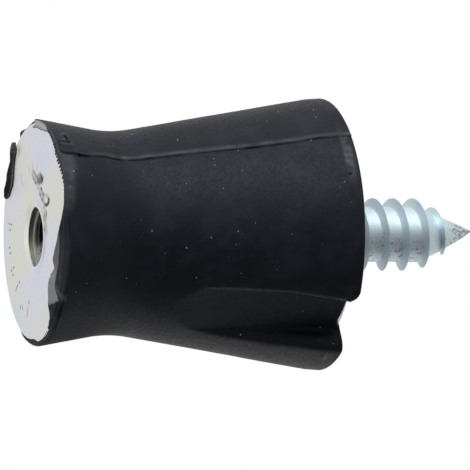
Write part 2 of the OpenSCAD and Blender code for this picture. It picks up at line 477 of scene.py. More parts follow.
def far_side_angles():
    """Angles from -Y of the columns beyond the groove's flanks. They are
    closest at the two parting lines and where the skin on the nut plate is."""
    angles = []
    angle = FLANK_END + 0.9
    while angle < 360 - FLANK_END:
        angles.append(angle)
        angle += 0.5 if 250 < angle < 302 else 0.9 if angle < 78 or angle > 236 else 1.6
    for seam in SEAMS:
        angles = [a for a in angles if abs(a - seam) > 4.4]
        for step in (0.25, 0.6, 1.0, 1.5, 2.1, 2.9, 3.9):
            angles += [seam - step, seam + step]
        angles.append(seam)
    return np.array(sorted(angles))


FAR_ANGLES = far_side_angles()

# Where the left parting line wanders to: height, angle
SEAM_WANDER = (
    (0, 0.6), (0.4, 1.6), (2.7, 1.8), (4.1, 0.0), (5.9, 1.4), (7.9, 0.5),
    (12.0, 0.6), (16.2, 1.3), (20.0, 1.0), (22.3, 0.1), (25.0, 0.9),
)


def seam_wander(side, z):
    """How far the parting line is off the XZ plane at height z, in degrees."""
    if side < 0:
        return line_at(SEAM_WANDER, z)
    return 0.8 * grain(0, 0, z, 4.0, 2.5)


def softened(line_x, line_y, softness):
    """The line averaged over a bell of the given half width, for a reach of
    the widest one, so that all results have the same length."""
    reach = int(3 * LIP_SOFTNESS / OUTLINE_STEP)
    weights = np.exp(-0.5 * (np.arange(-reach, reach + 1) * OUTLINE_STEP / softness) ** 2)
    weights /= weights.sum()
    return np.convolve(line_x, weights, "valid"), np.convolve(line_y, weights, "valid")


def raw_outline(z, radius, half_w):
    """The circle cut by the groove, as a line of even steps from one flank to
    the other, with the heights of the groove's floor and of its lips."""
    floor_y = GROOVE_FLOOR - (BODY_H - z) * math.tan(GROOVE_DRAFT)
    if z < WAIST_Z:
        floor_y = 2 * radius
    x = np.linspace(0, half_w, 221)
    in_corner = np.clip(x - (half_w - GROOVE_CORNER_R), 0, GROOVE_CORNER_R)
    bottom = floor_y + GROOVE_CORNER_R - np.sqrt(GROOVE_CORNER_R**2 - in_corner**2)
    floor = np.minimum(bottom, np.sqrt(radius**2 - x**2))
    wall_h = math.sqrt(radius**2 - half_w**2) - floor[-1]
    broken = min(1.0, max(0.0, wall_h / LIP_BREAK_H * 0.8))
    lip_x = half_w + LIP_BREAK_W * broken
    lip_y = math.sqrt(radius**2 - lip_x**2)
    break_y = max(floor[-1], lip_y - LIP_BREAK_H * broken)
    wall_y = np.linspace(floor[-1], break_y, max(2, int((break_y - floor[-1]) / 0.01) + 1))[1:]
    arc = np.linspace(math.asin(lip_x / radius), math.radians(FLANK_END + 14), 420)
    half_x = np.concatenate([x, np.full(len(wall_y), half_w), radius * np.sin(arc)])
    half_y = np.concatenate([floor, wall_y, radius * np.cos(arc)])
    line_x = np.concatenate([-half_x[:0:-1], half_x])
    line_y = np.concatenate([half_y[:0:-1], half_y])
    length = np.concatenate([[0], np.cumsum(np.hypot(np.diff(line_x), np.diff(line_y)))])
    even = np.arange(0, length[-1], OUTLINE_STEP)
    return np.interp(even, length, line_x), np.interp(even, length, line_y), floor[0], lip_y


def soft_outline(z, radius):
    """The raw outline softened along its length, which rounds the lips and
    the groove's run-out as a mould does, and its corners less than its lips."""
    half_w = GROOVE_HALF_W + GROOVE_SPREAD * (BODY_H - z)
    line_x, line_y, floor_y, lip_y = raw_outline(z, radius, half_w)
    deep_x, deep_y = softened(line_x, line_y, CORNER_SOFTNESS)
    soft_x, soft_y = softened(line_x, line_y, LIP_SOFTNESS)
    up_wall = smoothstep(0.15, 0.6, (deep_y - floor_y) / max(0.3, lip_y - floor_y))
    up_wall = np.where(np.abs(deep_x) > half_w + 0.1, 1.0, up_wall)
    return deep_x + (soft_x - deep_x) * up_wall, deep_y + (soft_y - deep_y) * up_wall


def groove_columns(soft_x, soft_y):
    """Points of the floor's, the walls' and the flanks' columns on an outline
    that is given by its distances across the groove and out to it."""
    run = np.arange(len(soft_x)) * OUTLINE_STEP
    middle = run[-1] / 2
    right = run >= middle

    def at_x(target):
        """Distance along the right half at which x first reaches target."""
        return np.interp(target, np.maximum.accumulate(soft_x[right]), run[right])

    floor_run = middle + np.interp(FLOOR_X[FLOOR_X >= 0], soft_x[right], run[right] - middle)
    wall_end = at_x(WALL_HALF)
    wall_run = np.linspace(at_x(FLOOR_HALF), wall_end, WALL_STEPS + 1)[1:]
    soft_angle = np.arctan2(soft_x, soft_y)
    flank_start = np.interp(wall_end, run, soft_angle)
    flank_angle = np.linspace(flank_start, math.radians(FLANK_END), FLANK_STEPS + 1)[1:]
    flank_run = np.interp(flank_angle, soft_angle[run > wall_end], run[run > wall_end])
    half_run = np.concatenate([floor_run, wall_run, flank_run])
    both = np.concatenate([2 * middle - half_run[:0:-1], half_run])
    return np.stack([np.interp(both, run, soft_x), -np.interp(both, run, soft_y)], axis=1)


def grooved_section(z):
    """Points round the body at one height, as an (n, 2) array."""
    radius = body_radius(z)
    near = groove_columns(*soft_outline(z, radius))
    turned = FAR_ANGLES.copy()
    for seam, side in zip(SEAMS, (1, -1)):
        turned += seam_wander(side, z) * (1 - smoothstep(1.5, 9.0, np.abs(FAR_ANGLES - seam)))
    turned = np.radians(turned)
    far = np.stack([radius * np.sin(turned), -radius * np.cos(turned)], axis=1)
    return np.concatenate([near, far])


# Inner edge of the skin that was squeezed over the nut plate: angle, radius.
# Beyond both ends the plate's rim is bare.
SKIN_EDGE = (
    (126, 9.3), (132, 8.75), (149, 8.65), (162, 9.08), (180, 8.78), (200, 9.03),
    (211, 8.69), (216, 8.15), (225, 6.8), (240, 5.85), (249, 5.65), (253, 6.35),
    (261, 5.85), (271, 5.67), (277, 6.25), (280, 6.8), (282, 8.3), (291, 9.03),
    (309, 9.02), (316, 8.78), (333, 8.95), (344, 9.3),
)
# Radius outside which that skin is thick and black
THICK_EDGE = (
    (128, 9.0), (133, 9.35), (156, 9.35), (163, 8.9), (222, 7.2), (234, 7.25),
    (246, 7.45), (257, 7.2), (262.5, 7.4), (264.5, 8.9), (266, 8.7), (278, 7.4), (281, 6.9),
)
# How large its torn fringe is
FRINGE_SIZE = ((213, 1.0), (215, 1.6), (263, 1.6), (266, 2.6), (282, 2.4), (286, 1.2))
# How much steel shows through the thin part
THIN_SHOW = ((163, 0.3), (180, 0.05), (225, 0.05), (248, 0.07), (255, 0.2))


def skin_inner_radius(angle):
    """Inner edge of the skin, with its torn fringe."""
    edge = line_at(SKIN_EDGE, angle)
    fringe = 0.05 * ragged(angle, 0.5, 5.0) + 0.04 * ragged(angle, 0.16, 6.0)
    combed = sum(bump(*place, angle) for place in COMBED)
    teeth = 0.17 * combed * math.sin(math.radians(angle) * 150 + 4 * ragged(angle, 1.0, 7.0))
    return edge + (fringe + teeth) * line_at(FRINGE_SIZE, angle)


def rim_dip(angle):
    """How far the rubber's end face has shrunk back from the plate's face."""
    far_side = 0.28 * smoothstep(-150, -138, turn_between(angle, 118)) if angle > 200 else 0.28
    far_side *= smoothstep(338, 350, angle) if angle > 200 else 1 - smoothstep(128, 137, angle)
    flash = bump(*FLASH, angle)
    return 0.02 + far_side * (1 - flash) + 0.015 * ragged(angle, 0.8, 9.0)


def rim_pale(angle):
    """How pale the scuffed rubber at the nut end's rim is."""
    pale_stretch = plateau(136, 150, 207, 222, angle)
    dusty = 0.34 * plateau(268, 292, 335, 350, angle) + 0.16 * plateau(222, 235, 262, 268, angle)
    patch = 0.5 * bump(*PALE_PATCH, angle)
    uneven = 0.8 + 0.5 * ragged(angle, 0.5, 26.0)
    return max(0.4 * pale_stretch * uneven, dusty * uneven, patch)


def rim_corner(angle):
    """Radius of the rubber's corner at its nut end: sharp where the mould
    parted there, and round along the torn skin."""
    return SHARP_RIM_R + (RIM_CORNER_R - SHARP_RIM_R) * plateau(215, 228, 338, 350, angle)


def rim_brown(angle):
    """How brown the rubber at the nut end's rim is."""
    return 0.2 * bump(*BROWN_RIM, angle)


# How far the skin over the end plate's rim has torn away, across the groove
TORN = ((-2.1, 0), (-1.2, 0.13), (0, 0.2), (1, 0.35), (1.5, 0.29), (1.95, 0))
# How far the groove's lip on the -X side is worn back at the flared end
WORN_LIP = ((-3.6, 0), (-3.2, 0.14), (-2.75, 0.6), (-2.2, 0.45), (-2.1, 0))


def end_wear(x, reach):
    """How far the flared end is worn or torn back at a point of the groove."""
    if abs(x) > 3.6:
        return 0.0
    torn = line_at(TORN, x) if reach < GROOVE_FLOOR + 0.6 else 0.0
    torn += 0.05 * grain(x, 0, 0, 0.25, 11.0) * (torn > 0)
    return max(0.0, torn, line_at(WORN_LIP, x))


# Half the width of the crack along the parting line, by height
SEAM_OPEN = (
    (0.1, 0), (0.35, 0.06), (0.7, 0.09), (1.1, 0.17), (1.7, 0.15), (2.1, 0.08), (2.6, 0.05),
    (2.9, 0), (3.3, 0.03), (5.7, 0.045), (5.9, 0), (6.2, 0.03), (7.2, 0.03), (7.6, 0.09),
    (8.6, 0.08), (8.9, 0.03), (10.2, 0.04), (11, 0.01), (15.6, 0.03), (16.1, 0.11),
    (17.0, 0.1), (17.5, 0.03), (20, 0.045), (25, 0.03),
)


def seam_form(off, z, side):
    """Height of the parting line and of the step between the mould halves, at a distance off it that is
    positive towards +Y, how rough its crack is and how pale its upper edge is painted, a painted
    highlight."""
    lip_strength = 0.55 + 0.45 * grain(side, 0, z, 0.9, 1.5)
    half = 0.04
    if side < 0:
        lip_strength *= 1 - 0.8 * bump(16.7, 0.9, z)
        lip_strength += 0.8 * bump(5.9, 0.3, z) + 0.6 * smoothstep(24.3, 24.9, z)
        half = line_at(SEAM_OPEN, z)
    half *= 1 + 0.7 * grain(side, 0, z, 0.5, 7.5)
    crack = smoothstep(-0.05, 0.02, half - abs(off + 0.1))
    lips = bump(0.12, 0.16, off) * lip_strength + 0.5 * bump(-0.3, 0.12, off) * min(1, 9 * half)
    step = 0.03 * plateau(-0.2, 0.1, 0.4, 2.5, off)
    depth = 1.8 * half
    # A painted highlight along the ridge's upper edge, where light from above catches it
    lit_edge = 0.45 * lip_strength * bump(0.2, 0.35, off) * smoothstep(2, 5, z)
    return 0.06 * lips - depth * crack + step, crack, lit_edge


# A three-cornered nick in the rim: where its narrow end is, and its length
NICK_ANGLE = 166.5
NICK_Z = 1.12
NICK_SPAN = 7.2
# Top of the band beside the nut plate that sinks slightly and is painted pale as a painted sheen: angle,
# height
SHEEN_BAND_TOP = ((181, 1.3), (189.5, 1.2), (198.5, 0.9), (207.5, 0.7), (212.5, 0.5), (222, 0.1))


def land_looks(x, y, z, angle):
    """How pale the land at the flared end is, where a highlight is painted over a short stretch and where
    it is smeared, and how far a point is in its one small mark."""
    # A short stretch of the land is painted pale: a painted highlight
    pale_stretch = smoothstep(LAND_Z - 0.1, LAND_Z + 0.2, z) * bump(*LAND_HIGHLIGHT, angle)
    pale_stretch *= (1 - smoothstep(24.4, 24.85, z)) * (0.75 + 0.8 * grain(x, y, z, 0.4, 18.0))
    mark = bump(*LAND_MARK, angle) * bump(LAND_MARK_Z, 0.25, z)
    smear = bump(*LAND_SMEAR, angle) * bump(LAND_SMEAR_Z + 0.04 * (angle - 290), 0.4, z)
    return max(0.0, 0.5 * pale_stretch * (1 - mark), 0.8 * smear), mark


def nick_form(angle, z):
    """How near a point is to the nick in the rim, and how far inside it."""
    along = (angle - NICK_ANGLE) / NICK_SPAN
    half = 0.06 + 0.36 * along
    off = z - NICK_Z + 0.25 * along
    upper = (0.13 - abs(half - 0.08 - off)) * smoothstep(-0.05, 0.2, along)
    lower = 0.07 - abs(along + 0.15 * off - 0.96)
    inside = max(min(upper, 1.1 - along), min(lower, half + 0.15 - abs(off)))
    near = smoothstep(-0.5, 0.0, min(half - abs(off), along, 1.1 - along))
    return near, smoothstep(0.0, 0.06, inside)


def body_detail(x, y, z):
    """Outward shift of a point of the rubber, and how pale, brown and rough
    it is."""
    angle = math.degrees(math.atan2(y, x)) % 360
    from_x = turn_between(angle, 0)
    shift = 0.025 * grain(x, y, z, 5.0, 12.0) + 0.006 * grain(x, y, z, 0.8, 13.0)
    shift += 0.065 * smoothstep(23.8, 25, z) * bump(*END_SWELL, from_x)
    pale, rough = 0.0, 0.0
    # A band beside the nut plate sinks slightly and is painted pale: a painted sheen
    if z < 2 and 181 < angle < 222:
        top = line_at(SHEEN_BAND_TOP, angle) + 0.1 * grain(x, y, 0, 1.2, 14.0)
        on_sheen_band = 1 - smoothstep(top - 0.4, top + 0.5, z)
        on_sheen_band *= plateau(180.5, 183, 205, 222, angle)
        shift -= 0.03 * on_sheen_band
        pale = 0.36 * on_sheen_band * (0.8 + 0.6 * grain(x, y, z, 0.6, 15.0))
    pale = max(pale, 0.6 * bump(*PALE_PATCH, angle) * (1 - smoothstep(0.3, 0.5, z)))
    # The wall under the plate's rim is painted paler
    pale = max(pale, bump(*PALE_WALL, angle) * (1 - smoothstep(0.6, 1.4, z)))
    if z > LAND_Z - 0.1:
        pale, rough = land_looks(x, y, z, angle)
        shift -= 0.12 * rough
    if 160 < angle < 180 and z < 2:
        near, rough = nick_form(angle, z)
        shift += 0.08 * near - 0.17 * rough
        # Pale specks round the nick: painted highlights
        nick_glint = smoothstep(0.15, 0.5, grain(x, y, z, 0.12, 19.0))
        pale = max(pale, 0.7 * near * nick_glint * (1 - rough))
    # The flare at the nut end is dull and brown with dust low down
    low_side = bump(*DULL_SIDE, from_x)
    rough = max(rough, 0.85 * low_side * (1 - smoothstep(2.0, 8.0, z)))
    brown = 0.1 * bump(*BROWN_SIDE, from_x)
    return shift, pale, brown, rough


def cavity_rings(angles, inner, dip, covered):
    """Rings of the cavity round the bush and the nut plate, up to the skin."""
    for z in (BUSH_LEN, PLATE_T):
        yield circle_ring(BUSH_R, z, angles, (BUSH_X, BUSH_Y))
    yield circle_ring(PLATE_R, PLATE_T, angles)
    for radius, z, bare_z in ((PLATE_R, PLATE_EDGE_R, 0.05), (PLATE_R - 0.07, 0.08, 0.03)):
        radii = PLATE_R + (radius - PLATE_R) * covered
        yield circle_ring(radii, (dip + bare_z) * (1 - covered) + z * covered, angles)
    radii = np.minimum(inner, PLATE_R - 0.1) * covered + (PLATE_R + 0.005) * (1 - covered)
    yield circle_ring(radii, (dip + 0.01) * (1 - covered) + 0.03 * covered, angles)


def skin_point(r, angle, thick_r, dip, start):
    """Height and looks of a point of the skin over the nut plate. The skin
    starts at one radius and is thick and black beyond another."""
    a = math.radians(angle)
    x, y = r * math.cos(a), r * math.sin(a)
    over_plate = 1 - smoothstep(PLATE_R - 0.35, PLATE_R + 0.02, r)
    thin = 1 - smoothstep(thick_r - 0.1, thick_r + 0.1, r + 0.1 * grain(x, y, 0, 0.7, 8.0))
    lumps = 0.5 + 0.5 * grain(x, y, 0, 0.45, 16.0)
    from_edge = r - start
    cover = (0.04 + 0.02 * lumps) * thin + (0.06 + 0.08 * lumps) * (1 - thin)
    cover *= smoothstep(-0.02, 0.12, from_edge)
    # Beyond 150 degrees steel shows only a little way in from the skin's inner edge: a thin dark line of
    # painted shade along that edge
    dark_edge = 0.08 * smoothstep(150, 160, angle)
    shows = line_at(THIN_SHOW, angle) * smoothstep(dark_edge, dark_edge + 0.08, from_edge)
    shows += 0.12 * smoothstep(8.95, 9.02, r) * (angle < 156)
    # Dashes along the skin's inner edge are left without the pale coat: painted shade of the notches
    # there
    dash = math.sin(a * 120 + 3 * ragged(angle, 2.0, 24.0)) > 0.55
    dash_shade = dash * bump(*SHADED_DASHES, angle) * (1 - smoothstep(0.25, 0.4, from_edge))
    streak = 1 + 0.8 * grain(x * 3, y * 3, 0, 1.0, 31.0) * (angle > 280)
    pale = rim_pale(angle) * (1 - dash_shade) * streak
    if angle > 222:
        pale *= smoothstep(0.05, 0.3, from_edge)
    height = dip * (1 - over_plate) - cover * over_plate
    return height, pale, thin * shows, rim_brown(angle), 1 - thin


def wall_point(x, y, z, foot, far_angle):
    """A point of the outer wall with its looks. Its column starts at the
    height foot, and far_angle is None beside the groove."""
    reach, level = math.hypot(x, y), z
    if z < RIM_BAND_H:
        level = foot + z * (RIM_BAND_H - foot) / RIM_BAND_H
        scale = body_radius(level) / reach
        x, y, reach = x * scale, y * scale, reach * scale
    shift, pale, brown, rough = body_detail(x, y, level)
    if far_angle is not None and abs(y) < 1.5:
        side = math.copysign(1, x)
        off = side * math.radians(far_angle - SEAMS[side < 0]) * reach
        ridge, crack, lit_edge = seam_form(off, level, side)
        shift += ridge
        rough, pale = max(rough, crack), max(pale, lit_edge)
    if level < PLATE_T + 0.2:
        shift = max(shift, PLATE_R + 0.02 - reach)
    end_bend = max(0.0, z - (BODY_H - TUCK_R)) / TUCK_R
    shift -= TUCK_R * (1 - math.sqrt(max(0.0, 1 - end_bend**2)))
    depth = end_wear(x, reach) if y < 0 else 0.0
    level -= depth * smoothstep(BODY_H - 1.2, BODY_H, z)
    tear = smoothstep(BODY_H - depth - 0.12, BODY_H - depth - 0.02, level) * (depth > 0.05)
    end_line = 0.5 * smoothstep(BODY_H - 0.1, BODY_H - 0.03, z)
    scale = 1 + shift / reach
    return x * scale, y * scale, level, pale, 0.0, max(end_line, tear, brown), rough


def skin_rings(angles, inner, dip):
    """Rings of the skin over the plate's face with their looks, from its
    feathered inner edge to the end of the rim's corner."""
    degrees = np.degrees(angles) % 360
    corner = rim_corner(degrees)
    noisy = np.array([ragged(a, 0.7, 17.0) for a in degrees])
    corner_r = np.array([body_radius(z) for z in dip + corner]) - corner + 0.03 * noisy
    thick = [line_at(THICK_EDGE, a) for a in degrees]
    for share in np.linspace(0, 1, 32):
        radius = inner + (corner_r - inner) * share
        columns = zip(radius, degrees, thick, dip, inner)
        height, *looks = np.transpose([skin_point(*column) for column in columns])
        yield circle_ring(radius, height, angles), *looks
    pale = np.array([rim_pale(a) for a in degrees])
    thin = 0.7 * np.minimum(1.0, 2 * bump(*THIN_RIM, degrees))
    rough = plateau(168, 215, 330, 345, degrees)
    for tilt in np.radians((15, 30, 45, 60, 75)):
        radius = corner_r + corner * math.sin(tilt)
        ring = circle_ring(radius, dip + corner * (1 - math.cos(tilt)), angles)
        yield ring, pale, thin, rim_brown(degrees), rough


def wall_rings(feet):
    """Rings of the outer wall with their looks, closer together towards both
    ends. Feet are the heights at which the columns start."""
    far = [None] * (len(feet) - len(FAR_ANGLES)) + list(FAR_ANGLES)
    low_spans = ((0, RIM_BAND_H, 0.09), (RIM_BAND_H + 0.08, 2, 0.09))
    spans = (*low_spans, (2.1, 22.9, 0.24), (23, BODY_H - 0.2, 0.1))
    tucked = BODY_H - TUCK_R * np.array([2.0, 1.0, 0.6, 0.3, 0.08])
    for z in np.concatenate([np.arange(*span) for span in spans] + [tucked]):
        columns = zip(grooved_section(z), feet, far)
        points = np.array([wall_point(*xy, z, foot, a) for xy, foot, a in columns])
        yield points[:, :3].tolist(), *points[:, 3:].T


def end_rings(wall_end, angles):
    """Rings of the flared end's face, inwards from the wall's last ring, and of
    the cavity of the end plate and the screw's head."""
    x, y, z = np.transpose(wall_end)
    reach = np.hypot(x, y)
    lip = reach - END_LIP_W
    for share in (0.0, 0.5, 1.0):
        scale = np.minimum(lip + (PLATE_R - lip) * share, reach - 0.03) / reach
        yield np.transpose((x * scale, y * scale, z + END_LIP_RISE)).tolist()
    hexagon = hexagon_radius(np.degrees(angles) % 360)
    head_top = BODY_H - PLATE_T
    for radius, z in ((PLATE_R, head_top), (hexagon, head_top), (hexagon, head_top - SCREW_HEAD_H)):
        yield circle_ring(radius, z, angles)


def body_rings():
    """Rings of the rubber from the bush's cavity round to the head's, with the
    pale, thin, torn and rough values of each ring's points."""
    plain = grooved_section(0.0)
    angles = np.arctan2(plain[:, 1], plain[:, 0])
    degrees = np.degrees(angles) % 360
    inner, dip = (np.array([form(a) for a in degrees]) for form in (skin_inner_radius, rim_dip))
    covered = 1 - smoothstep(PLATE_R - 0.12, PLATE_R, inner)
    inner = np.minimum(inner, PLATE_R + 0.02)
    rings, looks = [], []

    def add(ring, *values):
        rings.append(ring)
        looks.append(values or np.zeros((len(RUBBER_LOOKS), len(angles))))

    for ring in cavity_rings(angles, inner, dip, covered):
        add(ring)
    for skin in skin_rings(angles, inner, dip):
        add(*skin)
    for wall in wall_rings(dip + rim_corner(degrees)):
        add(*wall)
    for ring in end_rings(rings[-1], angles):
        add(ring)
    return rings, np.concatenate(looks, axis=1)


def hexagon_radius(degrees):
    """Radius of the screw's hexagon at each angle."""
    off_flat = (np.asarray(degrees) % 60) - 30
    return SCREW_HEAD_AF / 2 / np.cos(np.radians(off_flat))


def build_rubber_body(material):
    rings, looks = body_rings()
    start = (BUSH_X, BUSH_Y, BUSH_LEN)
    end = (0.0, 0.0, BODY_H - PLATE_T - SCREW_HEAD_H)
    mesh = loft("rubber_body_looks", rings, start, end)
    for name, values in zip(RUBBER_LOOKS, looks):
        set_attribute(mesh, name, np.append(values, (0.0, 0.0)))
    weld(mesh, [mesh])
    return object_from_mesh("rubber_body_looks", mesh, material, 50)


# A flap of flash that curled up on the nut plate. Places are measured along
# it and outwards across it, from the plate's middle.
FLAP_ALONG = (0.725, -0.688)
FLAP_OUT = (0.688, 0.725)
FLAP_EDGE = (
    (-7.6, 5.73), (-7.0, 5.12), (-6.3, 5.49), (-5.5, 5.8), (-4.4, 6.05),
    (-3.9, 6.26), (-3.5, 6.76), (-3.1, 7.1), (-2.85, 7.85),
)
FLAP_SIZE = (
    (-7.6, 0.6), (-7.0, 1.0), (-6.0, 0.78), (-5.0, 1.05), (-3.9, 1.15), (-3.1, 1.0), (-2.85, 0.5),
)


def flap_section(t, ends):
    """The flap's section at a place along it: a closed loop of (out, z), and how pale each point is, with
    a painted sheen in the valley. A thin ridge, a valley and then the tall roll."""
    edge = line_at(FLAP_EDGE, t) + 0.04 * grain(t, 0, 0, 0.3, 40.0)
    size = line_at(FLAP_SIZE, t) * (1 + 0.1 * grain(t, 0, 0, 0.5, 41.0))
    rim = math.sqrt(PLATE_R**2 - min(t * t, PLATE_R**2)) + 0.2
    loop, pale = [], []
    for s in np.linspace(0, 1.3, 22) * size:
        rough = 0.035 * grain(t, s, 0, 0.3, 42.0)
        ridge = 0.07 * bump(0.09, 0.1, s)
        roll = plateau(0.58 * size, 0.84 * size, 0.88 * size, 1.28 * size, s)
        loop.append((edge + s, -(0.02 + ridge + 0.33 * size * roll + rough) * ends))
        speckle = 0.75 * smoothstep(-0.25, 0.4, grain(t, s, 0, 0.3, 43.0))
        speckle *= 1 - smoothstep(-7.0, -6.2, t)
        # The valley is painted paler: a painted sheen. The roll is also paler along its outer edge
        valley = plateau(0.12, 0.2, 0.52, 0.64, s) * (1 - 0.7 * bump(0.34, 0.07, s))
        valley *= 0.25 + 0.75 * plateau(-5.8, -5.2, -3.9, -3.4, t)
        valley = max(valley, 0.4 * smoothstep(0.92, 1.05, s / size))
        pale.append(max(valley, speckle, bump(-7.15, 0.15, t) * (s > 0.7)))
    outer = max(rim, loop[-1][0] + 0.1)
    loop += [(outer, 0.14), (outer, 0.34), (edge + size, 0.05), (edge + 0.02, 0.05)]
    return loop, pale + [0] * 4


def build_rubber_flap(material):
    """The curled flap of flash, with rounded ends."""
    start, end = FLAP_EDGE[0][0], FLAP_EDGE[-1][0]
    rings, pales = [], []
    for t in np.linspace(start, end, 100):
        share = 2 * (t - start) / (end - start) - 1
        loop, pale = flap_section(t, math.sqrt(max(0.02, 1 - abs(share) ** 14)))
        (along_x, along_y), (out_x, out_y) = FLAP_ALONG, FLAP_OUT
        rings.append([(along_x * t + out_x * u, along_y * t + out_y * u, z) for u, z in loop])
        pales += pale
    poles = [np.mean(rings[k], axis=0) for k in (0, -1)]
    mesh = loft("rubber_flap_looks", rings, *poles)
    set_attribute(mesh, "pale", pales + [0, 0])
    for name, value in (("thin", 0.0), ("torn", 0.13), ("torn_rough", 0.2)):
        set_attribute(mesh, name, np.full(len(mesh.vertices), value))
    weld(mesh, [mesh])
    return object_from_mesh("rubber_flap_looks", mesh, material, 60)


# ------------------------------------------------------------------- threads


THREAD_NUMBERS = (
    "Pitch", "Turns", "Start Z", "Crest Z", "Low Z", "High Z", "Core Radius", "Ridge Height",
    "Crest Width", "Flank Width", "Flank Power", "Point Z", "Point Power", "Wane Z", "Wane Length",
    "Fade Z", "Fade Length", "Mouth Radius", "Start Closed", "End Closed", "Runout", "Runout Angle",
)
CLAMP = (("MAXIMUM", 0.0), ("MINIMUM", 1.0))
ONE_MINUS = ("MULTIPLY_ADD", -1.0, 1.0)
# The thread's formula. Each row is a name, the value it starts from and the
# operations on it in turn, which use numbers, inputs and earlier names. X and
# Y are a point's place in the flat grid.
THREAD_STEPS = (
    # Height, from the turns along the grid's long side and the share across it
    ("across", "X", ("ADD", 0.5)),
    ("along", "Y", ("ADD", 0.5), ("MULTIPLY", "Turns")),
    ("raw z", "along", ("ADD", "across"), ("MULTIPLY_ADD", "Pitch", "Start Z")),
    ("z", "raw z", ("MAXIMUM", "Low Z"), ("MINIMUM", "High Z")),
    # Angle: the ridge's middle, at half of across, is at Crest Z over +X
    ("crest turns", "Crest Z", ("SUBTRACT", "Start Z"), ("DIVIDE", "Pitch")),
    ("angle", "along", ("ADD", 0.5), ("SUBTRACT", "crest turns"), ("MULTIPLY", math.tau)),
    # Ridge: flat crest and hollow flanks. It narrows as it wanes.
    ("half crest", "Crest Width", ("MULTIPLY", 0.5)),
    ("off crest", "across", ("SUBTRACT", 0.5), ("ABSOLUTE",), ("MULTIPLY", "Pitch")),
    ("down", "off crest", ("SUBTRACT", "half crest"), ("DIVIDE", "Flank Width"), *CLAMP),
    ("hollow", "down", ONE_MINUS, ("POWER", "Flank Power")),
    ("wane", "Wane Z", ("SUBTRACT", "z"), ("DIVIDE", "Wane Length")),
    ("fade", "Fade Z", ("SUBTRACT", "z"), ("DIVIDE", "Fade Length")),
    ("lost", "wane", ("MINIMUM", "fade"), *CLAMP, ONE_MINUS),
    ("rise", "hollow", ("SUBTRACT", "lost"), ("MAXIMUM", 0.0)),
    ("ridge", "rise", ("MULTIPLY", "Ridge Height")),
    # A point is on a flank as far as it is neither at the root nor at the crest
    ("below crest", "rise", ONE_MINUS),
    ("flank", "rise", ("MULTIPLY", "below crest"), ("MULTIPLY", 4.0)),
    # Core: plain up to Point Z, then a cone that ends at High Z
    ("point length", "High Z", ("SUBTRACT", "Point Z")),
    ("cone", "High Z", ("SUBTRACT", "z"), ("DIVIDE", "point length"), *CLAMP),
    ("core", "cone", ("POWER", "Point Power"), ("MULTIPLY", "Core Radius")),
    # Mouth: a cone that narrows upwards from Low Z
    ("above mouth", "z", ("SUBTRACT", "Low Z")),
    ("mouth", "Mouth Radius", ("SUBTRACT", "above mouth")),
    # Past a closed end every point goes to the axis
    ("before", "raw z", ("LESS_THAN", "Low Z"), ("MULTIPLY", "Start Closed")),
    ("after", "raw z", ("GREATER_THAN", "High Z"), ("MULTIPLY", "End Closed")),
    ("open", "before", ("MAXIMUM", "after"), ONE_MINUS),
    ("radius", "core", ("ADD", "ridge"), ("MAXIMUM", "mouth"), ("MULTIPLY", "open")),
    # Runout: the point leans off the axis, more towards its tip
    ("lean", "cone", ONE_MINUS, ("POWER", 2.0), ("MULTIPLY", "Runout")),
    ("lean x", "Runout Angle", ("COSINE",), ("MULTIPLY", "lean")),
    ("lean y", "Runout Angle", ("SINE",), ("MULTIPLY", "lean")),
    ("x", "angle", ("COSINE",), ("MULTIPLY_ADD", "radius", "lean x")),
    ("y", "angle", ("SINE",), ("MULTIPLY_ADD", "radius", "lean y")),
)


def new_tree(name, numbers, whole_numbers, geometry_in=False):
    """A Geometry Nodes tree with named inputs, and its input sockets by name."""
    tree = bpy.data.node_groups.new(name, "GeometryNodeTree")
    rows = [("Geometry", "OUTPUT", "Geometry")] + [("Geometry", "INPUT", "Geometry")] * geometry_in
    rows += [(number, "INPUT", "Float") for number in numbers]
    rows += [(number, "INPUT", "Int") for number in whole_numbers]
    for label, way, kind in rows + [("Material", "INPUT", "Material")]:
        tree.interface.new_socket(label, in_out=way, socket_type="NodeSocket" + kind)
    return tree, {socket.name: socket for socket in add_node(tree, "NodeGroupInput").outputs}


def finish_tree(tree, geometry, material):
    """Ends a tree in real geometry with its material."""
    real = add_node(tree, "GeometryNodeRealizeInstances", (geometry,)).outputs[0]
    inputs = {"Geometry": real, "Material": material}
    painted = add_node(tree, "GeometryNodeSetMaterial", inputs).outputs[0]
    add_node(tree, "NodeGroupOutput", (painted,))
    return tree


